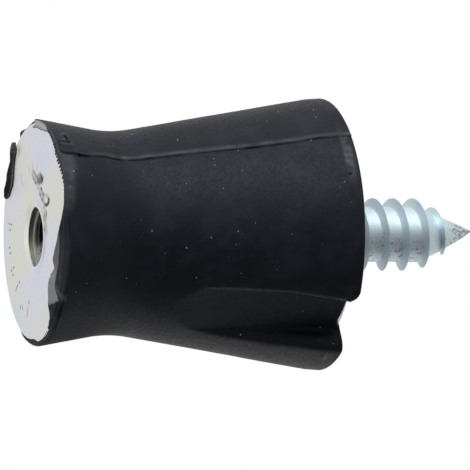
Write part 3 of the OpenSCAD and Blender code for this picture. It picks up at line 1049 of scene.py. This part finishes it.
def thread_tree():
    """Geometry Nodes that wind a thread's skin up a helix.

    A grid is rolled up so that its long side follows the helix and its short
    side spans one pitch. Each turn's upper edge welds to the next one's lower
    edge. Past its two end heights the skin closes on the axis or on the mouth.
    """
    tree, known = new_tree("wind_thread", THREAD_NUMBERS, ("Steps Along", "Rows Across"))
    sides = {"Vertices X": known["Rows Across"], "Vertices Y": known["Steps Along"]}
    grid = add_node(tree, "GeometryNodeMeshGrid", {"Size X": 1.0, "Size Y": 1.0, **sides}).outputs[0]
    place = add_node(tree, "GeometryNodeInputPosition").outputs[0]
    axes = add_node(tree, "ShaderNodeSeparateXYZ", (place,)).outputs
    known.update(X=axes["X"], Y=axes["Y"])
    for name, start, *steps in THREAD_STEPS:
        value = known[start]
        for operation, *terms in steps:
            inputs = [value] + [known.get(term, term) for term in terms]
            value = add_node(tree, "ShaderNodeMath", inputs, operation=operation).outputs[0]
        known[name] = value
    wound = add_node(tree, "ShaderNodeCombineXYZ", [known[axis] for axis in "xyz"]).outputs[0]
    moved = add_node(tree, "GeometryNodeSetPosition", {"Geometry": grid, "Position": wound})
    mark = {"Geometry": moved.outputs[0], "Name": "flank", "Value": known["flank"]}
    kind = {"data_type": "FLOAT", "domain": "POINT"}
    marked = add_node(tree, "GeometryNodeStoreNamedAttribute", mark, **kind).outputs[0]
    joined = {"Geometry": marked, "Distance": 1e-6}
    welded = add_node(tree, "GeometryNodeMergeByDistance", joined).outputs[0]
    return finish_tree(tree, welded, known["Material"])


def mesh_from_nodes(name, tree, values, lengths, base=None):
    """Runs a Geometry Nodes tree on a base mesh, with values and with lengths
    in millimetres for its inputs, and returns a plain mesh."""
    values = values | {label: length * MM for label, length in lengths.items()}
    carrier = new_object(name + "_carrier", base or bpy.data.meshes.new(name))
    modifier = carrier.modifiers.new("nodes", "NODES")
    modifier.node_group = tree
    for item in tree.interface.items_tree:
        if item.in_out == "INPUT" and item.name in values:
            modifier[item.identifier] = values[item.name]
    graph = bpy.context.evaluated_depsgraph_get()
    graph.update()
    mesh = bpy.data.meshes.new_from_object(carrier.evaluated_get(graph), depsgraph=graph)
    carrier.modifiers.clear()
    bpy.data.objects.remove(carrier)
    mesh.name = name
    return mesh


def screw_shank(tree, material):
    """The tapping thread, from inside the end plate to its rolled point."""
    low = BODY_H - PLATE_T - 1.0
    turns = math.ceil((SCREW_TIP_Z - low) / SCREW_PITCH) + 2
    lengths = {
        "Pitch": SCREW_PITCH, "Start Z": low - 1.5 * SCREW_PITCH, "Crest Z": SCREW_CREST_Z,
        "Low Z": low, "High Z": SCREW_TIP_Z, "Core Radius": SCREW_ROOT_R,
        "Ridge Height": SCREW_CREST_R - SCREW_ROOT_R, "Crest Width": 0.03, "Flank Width": 0.33,
        "Point Z": SCREW_TIP_Z - SCREW_POINT_LEN, "Wane Z": SCREW_TIP_Z + 0.3,
        "Wane Length": SCREW_WANE_LEN, "Fade Z": SCREW_TIP_Z - 1.95, "Fade Length": 0.6,
        "Mouth Radius": -1.0, "Runout": SCREW_RUNOUT,
    }
    values = {
        "Turns": float(turns), "Flank Power": 1.4, "Point Power": SCREW_POINT_POWER,
        "Start Closed": 1.0, "End Closed": 1.0, "Runout Angle": math.radians(SCREW_RUNOUT_ANGLE),
        "Steps Along": turns * SCREW_STEPS + 1, "Rows Across": 27, "Material": material,
    }
    return mesh_from_nodes("screw_shank", tree, values, lengths)


def bore_skin(tree, material):
    """The nut thread in the bush, from its mouth to its flat bottom."""
    turns = math.ceil(BORE_DEPTH / BORE_PITCH) + 3
    lengths = {
        "Pitch": BORE_PITCH, "Start Z": -1.5 * BORE_PITCH, "Crest Z": BORE_CREST_Z,
        "High Z": BORE_DEPTH, "Core Radius": BORE_R, "Ridge Height": BORE_THREAD_R - BORE_R,
        "Crest Width": 0.2, "Flank Width": 0.31, "Point Z": BORE_DEPTH - 0.01,
        "Wane Z": 2 * BORE_DEPTH, "Wane Length": BORE_DEPTH, "Fade Z": BORE_DEPTH - 0.3,
        "Fade Length": 0.8, "Mouth Radius": BORE_MOUTH_R,
    }
    values = {
        "Turns": float(turns), "Flank Power": 1.0, "Point Power": 1.0, "End Closed": 1.0,
        "Steps Along": turns * BORE_STEPS + 1, "Rows Across": 13, "Material": material,
    }
    return mesh_from_nodes("bore_skin", tree, values, lengths)


def points_of(mesh):
    """The places of a mesh's points, in millimetres."""
    return [vertex.co / MM for vertex in mesh.vertices]


# The side of the screw whose plating is pitted
PITTED_ANGLE = math.radians(-70)


def build_tapping_screw(tree, material):
    """Shank, and the hexagon head and neck that are held in the mount."""
    angles = np.linspace(0, math.tau, 96, endpoint=False)
    hexagon = hexagon_radius(np.degrees(angles))
    plate_z = BODY_H - PLATE_T
    head_z = plate_z - SCREW_HEAD_H
    outline = (
        (SCREW_HEAD_AF / 2, head_z), (hexagon, head_z + 0.6), (hexagon, plate_z),
        (SCREW_NECK_R, plate_z), (SCREW_NECK_R, BODY_H),
    )
    rings = [circle_ring(radius, z, angles) for radius, z in outline]
    head = loft("screw_head", rings, (0, 0, head_z), (0, 0, BODY_H))
    mesh = bpy.data.meshes.new("tapping_screw_looks")
    weld(mesh, [screw_shank(tree, material), head], 1e-9, drop_slivers=False)
    pitted = []
    for x, y, z in points_of(mesh):
        to_side = x * math.cos(PITTED_ANGLE) + y * math.sin(PITTED_ANGLE)
        in_root = 1 - smoothstep(SCREW_ROOT_R + 0.03, SCREW_ROOT_R + 0.15, math.hypot(x, y))
        on_shank = in_root * (0.3 + 0.7 * smoothstep(0.2, 1.6, to_side)) * (z < 34)
        pitted.append(max(on_shank, 1.8 * smoothstep(35.3, 37.5, z)))
    set_attribute(mesh, "pitted", pitted)
    return object_from_mesh("tapping_screw_looks", mesh, material, 40)


# -------------------------------------------------------------- plates, bush


# Crease that runs down the nut plate's face beside the hole, as places on it
CREASE = (
    (-3.2, 3.7), (-3.5, 2.6), (-3.62, 0.9), (-3.7, 0.1), (-3.25, -1.05), (-2.45, -1.85), (-2.4, -2.35),
)
# The punched arc: angle of its first group, and from one group to the next
PUNCH_START = 52
PUNCH_STEP = 15.8
# How far a punched mark can reach from its own middle
MARK_REACH = 0.8
# A painted shadow beside the flap of flash, a round nick beside the crease and a dark chip above it
FLAP_SHADOW_X, FLAP_SHADOW_Y = -1.85, 8.0
FACE_NICK_X, FACE_NICK_Y = -4.15, -0.45
CHIP_X, CHIP_Y = -4.25, 1.95


def flap_axes(x, y):
    """A distance on the nut's face, along the flap of flash and out to it."""
    return FLAP_ALONG[0] * x + FLAP_ALONG[1] * y, FLAP_OUT[0] * x + FLAP_OUT[1] * y


def punch_marks():
    """A plain arc of punched dots and dashes on the nut plate's face, each as
    (x, y, half its length along the radius, half its width, strength)."""
    places = []
    for k, kind in enumerate(("three", "two", "three", "dash", "two", "dash")):
        middle = PUNCH_START - PUNCH_STEP * k
        if kind == "dash":
            places += [(6.9, middle, 0.5, 0.08, 0.8), (6.0, middle - 1.5, 0.2, 0.1, 0.8)]
            continue
        dots = [(7.35, middle + 0.5), (7.15, middle - 3.6), (6.7, middle + 0.3)]
        places += [(*dot, 0.22, 0.09, 0.8) for dot in dots[: 3 if kind == "three" else 2]]
    places += [(5.5, degrees, 0.3, 0.12, 0.3) for degrees in (95.0, 119.0, 130.0, 143.0)]
    places.append((6.1, 96.0, 0.25, 0.1, 0.3))
    marks = []
    for radius, degrees, *size in places:
        a = math.radians(degrees)
        marks.append((radius * math.cos(a), radius * math.sin(a), *size))
    return marks


def crease_distance(x, y):
    """Distance to the crease, and how far along it the nearest place is."""
    best, place, run = 9.0, 0.0, 0.0
    for (ax, ay), (bx, by) in zip(CREASE, CREASE[1:]):
        dx, dy = bx - ax, by - ay
        length = math.hypot(dx, dy)
        share = min(1.0, max(0.0, ((x - ax) * dx + (y - ay) * dy) / length**2))
        away = math.hypot(x - ax - share * dx, y - ay - share * dy)
        if away < best:
            best, place = away, run + share * length
        run += length
    return best, place


MARKS = punch_marks()


def punched(x, y):
    """How far a point of the face is in a punched mark, and how dark that makes it."""
    depth, grime_and_shade = 0.0, 0.0
    for mark_x, mark_y, half_r, half_t, strength in MARKS:
        if abs(x - mark_x) < MARK_REACH and abs(y - mark_y) < MARK_REACH:
            a = math.atan2(mark_y, mark_x)
            off_r = (x - mark_x) * math.cos(a) + (y - mark_y) * math.sin(a)
            off_t = (y - mark_y) * math.cos(a) - (x - mark_x) * math.sin(a)
            inside = 1 - smoothstep(0.5, 1.3, math.hypot(off_t / half_t, off_r / half_r))
            depth += 0.05 * inside
            grime_and_shade = max(grime_and_shade, strength * inside)
    return depth, grime_and_shade


def face_relief(x, y):
    """The nut plate's face and its collar: depth, grime with a painted shadow beside the flap of flash,
    and bare beige.
    """
    marked, grime_and_shade = punched(x, y)
    depth = 0.012 * (1 + grain(x, y, 0, 2.5, 20.0)) + 0.004 * grain(x, y, 0, 0.5, 21.0) + marked
    beige = 0.0
    if -4.6 < x < -1.9 and -2.9 < y < 4.2:
        away, place = crease_distance(x + 0.06 * grain(x, y, 0, 0.4, 22.0), y)
        beige = bump(0, 0.6, away)
        line = bump(0.3, 0.2, away) * smoothstep(-0.15, 0.2, grain(place, 0, 0, 0.6, 23.0))
        depth += 0.05 * line - 0.03 * bump(0, 0.25, away)
        grime_and_shade = max(grime_and_shade, line)
    # A painted shadow that the flap of flash casts on the face
    flap_shadow = bump(0, 1, math.hypot((x - FLAP_SHADOW_X) / 0.9, (y - FLAP_SHADOW_Y) / 0.55))
    along, out = flap_axes(x - FACE_NICK_X, y - FACE_NICK_Y)
    ring = min(1.0, 1.6 * bump(0.4, 0.22, math.hypot(out / 1.9, along)))
    nick = ring * (1 - 0.8 * smoothstep(0.1, 0.5, out)) * (1 - 0.7 * smoothstep(0.1, 0.3, -along))
    along, out = flap_axes(x - CHIP_X, y - CHIP_Y)
    edge = math.hypot(out / 0.95, along / 0.5) + 0.5 * grain(x, y, 0, 0.3, 29.0)
    chip = (1 - smoothstep(0.6, 1.1, edge)) * (0.75 + 0.25 * (out < -0.1))
    return depth + 0.05 * max(nick, chip), max(grime_and_shade, 0.4 * flap_shadow, nick, chip), beige


def oil_and_shade_in_bore(x, y, z):
    """Darkness in the nut's thread: painted shade deep in the bore and in its first root, mostly on its
    +Y side, and spots of black oil.
    """
    across = flap_axes(x - BUSH_X, y - BUSH_Y)[0] / BORE_R
    clouded = across + 0.5 * grain(x, y, z, 0.7, 27.0)
    # Painted shade deep in the bore and in its first root
    deep = smoothstep(1.28, 1.4, z) * (1 - smoothstep(-0.1, 0.3, clouded))
    deep = max(deep, smoothstep(1.45, 1.6, z) * smoothstep(-0.05, 0.3, grain(x, y, z, 0.5, 30.0)))
    first_root = bump(0.45, 0.25, z) * (1 - smoothstep(-0.3, 0.3, clouded))
    spots = smoothstep(0.3, 0.45, grain(x, y, z, 0.3, 28.0)) * (z > 0.9) * (clouded > 0.2)
    return max(deep, 0.5 * first_root, spots)


def paint_face(mesh):
    """Sets the grime, painted shadow and painted shade, and the beige, of the points near the face and in
    the bore.
    """
    looks = []
    for x, y, z in points_of(mesh):
        in_bore = math.hypot(x - BUSH_X, y - BUSH_Y) < BORE_MOUTH_R - 0.01
        near = abs(z) < 0.35 and not in_bore
        grime_and_shade, beige = face_relief(x, y)[1:] if near else (0, 0)
        if in_bore or z > 0.5:
            grime_and_shade = oil_and_shade_in_bore(x, y, z)
        looks.append((grime_and_shade, beige))
    for name, values in zip(("grime_and_shade", "beige"), zip(*looks)):
        set_attribute(mesh, name, values)


def dish(x, y, z=0.0):
    """Depth by which the collar is dished on one side of the bore's mouth."""
    out = flap_axes(x - BUSH_X, y - BUSH_Y)[1]
    reach = math.hypot(x - BUSH_X, y - BUSH_Y)
    share = (BORE_DISH_R - reach) / (BORE_DISH_R - BORE_MOUTH_R)
    share = min(1.0, max(0.0, share)) * smoothstep(-0.2, 0.8, out / reach)
    return BORE_DISH_DEPTH * share * (1 - smoothstep(0.0, 0.9, z))


def build_nut_bush(tree, material):
    """The bush: a staked collar flush with the plate, and its tapped bore."""
    bore = bore_skin(tree, material)
    bore.transform(Matrix.Translation((BUSH_X * MM, BUSH_Y * MM, 0)))
    for vertex in bore.vertices:
        x, y, z = vertex.co / MM
        vertex.co.z += dish(x, y, z) * MM if x or y else 0.0
    centre = (BUSH_X, BUSH_Y)
    angles = np.linspace(0, math.tau, BORE_STEPS, endpoint=False)
    face_radii = np.arange(BORE_MOUTH_R + 0.05, COLLAR_R - 0.05, 0.085)
    rings = []
    for radius in (BORE_MOUTH_R, *face_radii, COLLAR_R):
        relief = face_relief if radius > BORE_MOUTH_R else lambda x, y: (0.0,)
        flat = circle_ring(radius, 0, angles, centre)
        rings.append([(x, y, relief(x, y)[0] + dish(x, y)) for x, y, _ in flat])
    for radius, z in ((COLLAR_R, PLATE_T), (BUSH_R, PLATE_T), (BUSH_R, BUSH_LEN)):
        rings.append(circle_ring(radius, z, angles, centre))
    shell = loft("bush_shell", rings, end=(*centre, BUSH_LEN))
    mesh = bpy.data.meshes.new("nut_bush_looks")
    weld(mesh, [bore, shell], 2e-6, drop_slivers=False)
    paint_face(mesh)
    return object_from_mesh("nut_bush_looks", mesh, material, 40)


def build_plate(name, material, hole_r, centre, face_z, back_z, columns, pitch, relief):
    """A plated steel disc whose face, with its rounded edge, is at face_z and
    has rings at the given pitch. The hole is round centre, and rings further
    out close in on the axis."""
    away = math.copysign(1, back_z - face_z)
    angles = np.linspace(0, math.tau, columns, endpoint=False)
    rings = [circle_ring(hole_r, back_z, angles, centre)]
    edge = PLATE_R - PLATE_EDGE_R
    for r in np.append(np.arange(hole_r, edge - pitch / 2, pitch), edge):
        follow = 1 - smoothstep(hole_r, 8.0, r)
        flat = circle_ring(r, face_z, angles, (centre[0] * follow, centre[1] * follow))
        rings.append([(x, y, z + away * relief(x, y)) for x, y, z in flat])
    for tilt in np.radians((20, 40, 60, 80, 90)):
        radius = PLATE_R - PLATE_EDGE_R * (1 - math.sin(tilt))
        height = face_z + away * PLATE_EDGE_R * (1 - math.cos(tilt))
        rings.append(circle_ring(radius, height, angles))
    rings.append(circle_ring(PLATE_R, back_z, angles))
    mesh = loft(name, rings, closed=True)
    weld(mesh, [mesh], 1e-9)
    return object_from_mesh(name, mesh, material, 35)


def build_nut_plate(material):
    plate = build_plate(
        "nut_plate_looks", material, COLLAR_R, (BUSH_X, BUSH_Y), 0.0, PLATE_T, 600, 0.085,
        lambda x, y: face_relief(x, y)[0],
    )
    paint_face(plate.data)
    return plate


def build_end_plate(material):
    plate = build_plate(
        "end_plate_looks", material, SCREW_NECK_R, (0, 0), BODY_H, BODY_H - PLATE_T, 180, 0.3,
        lambda x, y: 0.008 * (1 + grain(x, y, 0, 2.5, 30.0)),
    )
    for name in ("grime_and_shade", "beige"):
        set_attribute(plate.data, name, np.zeros(len(plate.data.vertices)))
    return plate


# ---------------------------------------------------------------------- dust


def dust_tree():
    """Geometry Nodes that settle small grains on a surface."""
    numbers = ("Grains Per Square Metre", "Smallest", "Largest")
    tree, given = new_tree("settle_dust", numbers, ("Seed",), geometry_in=True)
    surface, seed = given["Geometry"], given["Seed"]
    spread = {"Mesh": surface, "Density": given["Grains Per Square Metre"], "Seed": seed}
    points = add_node(tree, "GeometryNodeDistributePointsOnFaces", spread).outputs
    ball = add_node(tree, "GeometryNodeMeshIcoSphere", {"Radius": 1.0, "Subdivisions": 1})
    chance = {"Min": 0.0, "Max": 1.0, "Seed": seed}
    share = add_node(tree, "FunctionNodeRandomValue", chance, data_type="FLOAT").outputs[1]
    # Most grains are near the smallest size, a few near the largest
    skewed = add_node(tree, "ShaderNodeMath", (share, 3.0), operation="POWER").outputs[0]
    sizes = {"Value": skewed, "To Min": given["Smallest"], "To Max": given["Largest"]}
    size = add_node(tree, "ShaderNodeMapRange", sizes).outputs[0]
    flat = {0: (1.0, 0.7, 0.4), "Scale": size}
    instances = {
        "Points": points["Points"],
        "Instance": ball.outputs[0],
        "Rotation": points["Rotation"],
        "Scale": add_node(tree, "ShaderNodeVectorMath", flat, operation="SCALE").outputs[0],
    }
    placed = add_node(tree, "GeometryNodeInstanceOnPoints", instances).outputs[0]
    return finish_tree(tree, placed, given["Material"])


def build_dust(body, material):
    values = {"Grains Per Square Metre": 180000.0, "Seed": 5, "Material": material}
    lengths = {"Smallest": 0.03, "Largest": 0.12}
    mesh = mesh_from_nodes("dust_on_rubber", dust_tree(), values, lengths, body.data.copy())
    return object_from_mesh("dust_on_rubber", mesh, material, 80)


# -------------------------------------------------------- stage and lighting


def camera_axes():
    """Right, up and backward directions of the camera."""
    a = math.radians(CAMERA_AZIMUTH)
    e = math.radians(CAMERA_ELEVATION)
    back = Vector((math.sin(a) * math.cos(e), -math.cos(a) * math.cos(e), math.sin(e)))
    right = (Vector((0, 0, 1)) - back * back.z).normalized()
    up = back.cross(right)
    return right, up, back


def add_camera():
    """The mount lies along the picture, with its nut plate to the left."""
    right, up, back = camera_axes()
    position = CAMERA_TARGET + back * CAMERA_DISTANCE
    aim = CAMERA_TARGET + right * AIM_RIGHT - up * AIM_DOWN
    forward = (aim - position).normalized()
    rolled_right = right * math.cos(CAMERA_ROLL) + up * math.sin(CAMERA_ROLL)
    true_up = rolled_right.cross(forward).normalized()
    true_right = forward.cross(true_up).normalized()
    camera = new_object("camera", bpy.data.cameras.new("camera"))
    camera.data.lens = CAMERA_LENS
    camera.data.sensor_width = 36.0
    camera.data.clip_start = 0.01
    camera.data.clip_end = 10.0
    turned = Matrix((true_right, true_up, -forward)).transposed().to_4x4()
    camera.matrix_world = Matrix.Translation(position * MM) @ turned
    bpy.context.scene.camera = camera


def add_soft_lamp(name, direction, size, strength):
    """A square soft box that faces the mount. Strength is the light it gives
    there, where 1 makes a white surface white."""
    data = bpy.data.lights.new(name, "AREA")
    data.shape = "SQUARE"
    data.size = size * MM
    data.energy = strength * math.pi * (LAMP_DISTANCE * MM) ** 2 * math.pi
    lamp = new_object(name, data)
    lamp.location = (CAMERA_TARGET + direction * LAMP_DISTANCE) * MM
    lamp.rotation_mode = "QUATERNION"
    lamp.rotation_quaternion = direction.to_track_quat("Z", "Y")


def add_lights():
    """The soft boxes, and a studio that is white behind the mount and dimmer
    behind the camera."""
    right, up, back = camera_axes()
    for name, (to_right, to_up, to_back), size, strength in SOFT_BOXES:
        direction = (right * to_right + up * to_up + back * to_back).normalized()
        add_soft_lamp(name, direction, size, strength)
    world = bpy.data.worlds.new("studio")
    bpy.context.scene.world = world
    tree = emptied_tree(world)
    # 1 towards the backdrop and 0 towards the camera's side of the studio
    coords = add_node(tree, "ShaderNodeTexCoord").outputs["Generated"]
    dim_side = tuple((back - up * 0.4 - right * 0.3).normalized())
    facing = add_node(tree, "ShaderNodeVectorMath", (coords, dim_side), operation="DOT_PRODUCT")
    span = (facing.outputs["Value"], -0.5, 0.6, 1.0, 0.0)
    backdrop = add_node(tree, "ShaderNodeMapRange", span, **SMOOTH).outputs[0]
    levels = (backdrop, WORLD_FAR - WORLD_NEAR, WORLD_NEAR)
    level = add_node(tree, "ShaderNodeMath", levels, operation="MULTIPLY_ADD").outputs[0]
    # The camera sees plain white all round. Glass would too, and glossy
    # metal sees it where the backdrop stands.
    ray = add_node(tree, "ShaderNodeLightPath").outputs
    direct = (ray["Is Camera Ray"], ray["Is Transmission Ray"])
    direct = add_node(tree, "ShaderNodeMath", direct, operation="MAXIMUM").outputs[0]
    mirrored = (ray["Is Glossy Ray"], backdrop)
    mirrored = add_node(tree, "ShaderNodeMath", mirrored, operation="MULTIPLY").outputs[0]
    shown = add_node(tree, "ShaderNodeMath", (direct, mirrored), operation="MAXIMUM").outputs[0]
    mixed = {"Factor": shown, 2: level, 3: 1.0}
    strength = add_node(tree, "ShaderNodeMix", mixed, data_type="FLOAT").outputs[0]
    light = {"Color": (1, 1, 1, 1), "Strength": strength}
    light = add_node(tree, "ShaderNodeBackground", light).outputs[0]
    add_node(tree, "ShaderNodeOutputWorld", {"Surface": light})


def add_floor():
    """A white table that is seen, and holds the shadow, from above only.

    The first view looks up at the nut plate from under the table's level, so
    the table lets that view and all light through from below.
    """
    corners = [(x * TABLE_HALF, y * TABLE_HALF, TABLE_Z) for x, y in ((-1, -1), (1, -1), (1, 1), (-1, 1))]
    mesh = bpy.data.meshes.new("table")
    mesh.from_pydata([tuple(c * MM for c in corner) for corner in corners], [], [(0, 1, 2, 3)])
    material, tree = new_material("white_table")
    to_camera = add_node(tree, "ShaderNodeLightPath").outputs["Is Camera Ray"]
    back = add_node(tree, "ShaderNodeNewGeometry").outputs["Backfacing"]
    front = add_node(tree, "ShaderNodeMath", (1.0, back), operation="SUBTRACT").outputs[0]
    seen = add_node(tree, "ShaderNodeMath", (to_camera, front), operation="MULTIPLY").outputs[0]
    clear = add_node(tree, "ShaderNodeBsdfTransparent").outputs[0]
    white = add_node(tree, "ShaderNodeBsdfDiffuse", {"Color": srgb("#f4f4f4")}).outputs[0]
    mixed = add_node(tree, "ShaderNodeMixShader", (seen, clear, white)).outputs[0]
    add_node(tree, "ShaderNodeOutputMaterial", {"Surface": mixed})
    mesh.materials.append(material)
    table = new_object("table", mesh)


# ---------------------------------------------------------------- the object

bpy.context.scene.view_settings.view_transform = "Standard"
add_camera()
add_lights()
add_floor()

rubber = moulded_rubber()
plate_zinc = zinc_face_finish("passivated_zinc_on_pressed_steel")
bush_zinc = zinc_face_finish("passivated_zinc_on_turned_steel")
screw_zinc = zinc_screw_finish()

winding = thread_tree()
body = build_rubber_body(rubber)
flap = build_rubber_flap(rubber)
dust = build_dust(body, settled_dust())
nut_plate = build_nut_plate(plate_zinc)
nut_bush = build_nut_bush(winding, bush_zinc)
end_plate = build_end_plate(plate_zinc)
screw = build_tapping_screw(winding, screw_zinc)

finish_piece(body, "rubber", "rubber_body")
finish_piece(flap, "rubber")
finish_piece(dust, "rubber")
finish_piece(nut_plate, "zinc_plate", "nut_plate")
finish_piece(nut_bush, "zinc_bush", "nut_bush")
finish_piece(end_plate, "zinc_plate", "end_plate")
finish_piece(screw, "zinc_screw", "tapping_screw")
